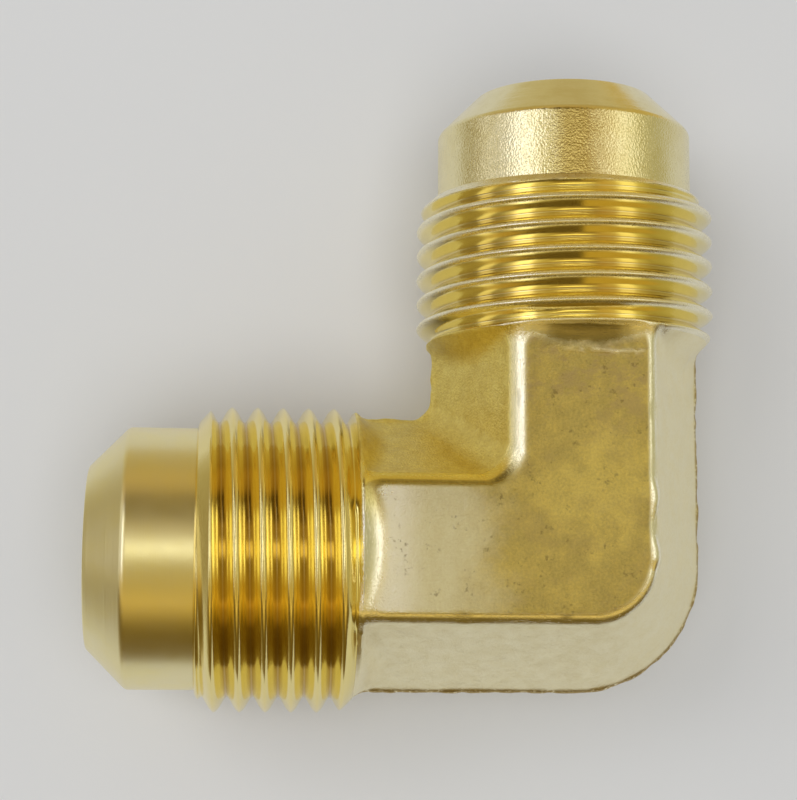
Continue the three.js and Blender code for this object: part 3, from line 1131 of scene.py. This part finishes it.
# Panels seen in reflections: degrees from straight up, towards +Y or +X, and linear colour.
FRONT_BACK_PANELS = (
    (-135, PALE),
    (-120, (0.30, 0.24, 0.12)),
    (-97, (0.17, 0.125, 0.045)),
    (-82, (0.13, 0.083, 0.017)),
    (-62, (0.16, 0.108, 0.024)),
    (-53, (0.44, 0.31, 0.085)),
    (-45, (0.52, 0.37, 0.10)),
    (-43, (0.85, 0.62, 0.20)),
    (-39, (0.85, 0.62, 0.20)),
    (-37, (0.50, 0.37, 0.11)),
    (-30, (0.50, 0.37, 0.115)),
    (-8, (0.42, 0.35, 0.155)),
    (-1.5, (0.50, 0.43, 0.22)),
    (0, (1.65, 1.62, 1.35)),
    (10.5, (1.65, 1.62, 1.35)),
    (12.0, (0.42, 0.355, 0.22)),
    (24, (0.52, 0.43, 0.26)),
    (31, (0.17, 0.13, 0.065)),
    (51, (0.11, 0.08, 0.034)),
    (59, (0.46, 0.335, 0.13)),
    (73, (0.54, 0.40, 0.155)),
    (82, (0.42, 0.32, 0.12)),
    (90, (0.46, 0.37, 0.17)),
    (115, (0.54, 0.48, 0.30)),
    (135, PALE),
)
LEFT_RIGHT_PANELS = (
    (-140, PALE),
    (-118, (0.42, 0.37, 0.22)),
    (-96, (0.32, 0.27, 0.155)),
    (-88, (0.36, 0.32, 0.22)),
    (-85, (1.05, 1.03, 1.05)),
    (-76, (1.0, 0.98, 0.98)),
    (-71, (0.36, 0.33, 0.30)),
    (-62, (0.40, 0.38, 0.36)),
    (-55, (0.80, 0.78, 0.80)),
    (-48, (1.9, 1.95, 2.4)),
    (-38, (1.9, 1.95, 2.3)),
    (-33, (0.85, 0.80, 0.66)),
    (-18, (0.48, 0.41, 0.20)),
    (-10, (0.30, 0.215, 0.085)),
    (10, (0.27, 0.19, 0.08)),
    (17, (0.36, 0.27, 0.12)),
    (24, (0.60, 0.46, 0.25)),
    (36, (0.70, 0.60, 0.40)),
    (42, (1.3, 1.28, 1.15)),
    (52, (1.3, 1.28, 1.15)),
    (58, (0.70, 0.66, 0.42)),
    (72, (0.42, 0.38, 0.21)),
    (90, (0.47, 0.445, 0.29)),
    (102, (0.56, 0.54, 0.42)),
    (112, PALE),
)


def softbox(name, place, size, watts):
    """A large soft light that faces the object. It lights the floor, and no metal mirrors it."""
    light = bpy.data.lights.new(name, "AREA")
    light.shape = "SQUARE"
    light.size = size
    light.energy = watts
    lamp = bpy.data.objects.new(name, light)
    lamp.location = place
    lamp.rotation_euler = Vector(place).to_track_quat("Z", "Y").to_euler()
    lamp.visible_glossy = False
    lamp.visible_camera = False
    bpy.context.scene.collection.objects.link(lamp)


OVERHEAD_WATTS = 4.0
KEY_WATTS = 1.5

# The camera looks almost straight down, from a little to the left and in front.
CAMERA_PLACE = (-0.02091, -0.00661, 0.13585)
CAMERA_RIGHT = (0.9967, 0.0065, 0.0810)
CAMERA_BACK = (-0.0795, -0.1299, 0.9883)
FOCAL_LENGTH = 91.58
SENSOR_WIDTH = 36


def camera():
    back = Vector(CAMERA_BACK).normalized()
    right = Vector(CAMERA_RIGHT)
    right = (right - back * right.dot(back)).normalized()
    up = back.cross(right)
    turn = Matrix((right, up, back)).transposed().to_4x4()
    lens = bpy.data.cameras.new("camera")
    lens.lens = FOCAL_LENGTH
    lens.sensor_width = SENSOR_WIDTH
    lens.clip_start = 0.005
    lens.clip_end = 20
    viewer = bpy.data.objects.new("camera", lens)
    viewer.matrix_world = Matrix.Translation(CAMERA_PLACE) @ turn
    bpy.context.scene.collection.objects.link(viewer)
    bpy.context.scene.camera = viewer


pale_floor()
studio_world()
softbox("overhead_softbox", (-0.05, -0.22, 0.98), 0.7, OVERHEAD_WATTS)
softbox("key_softbox", (-0.55, 0.20, 0.60), 0.5, KEY_WATTS)
camera()
bpy.context.scene.view_settings.view_transform = "Standard"
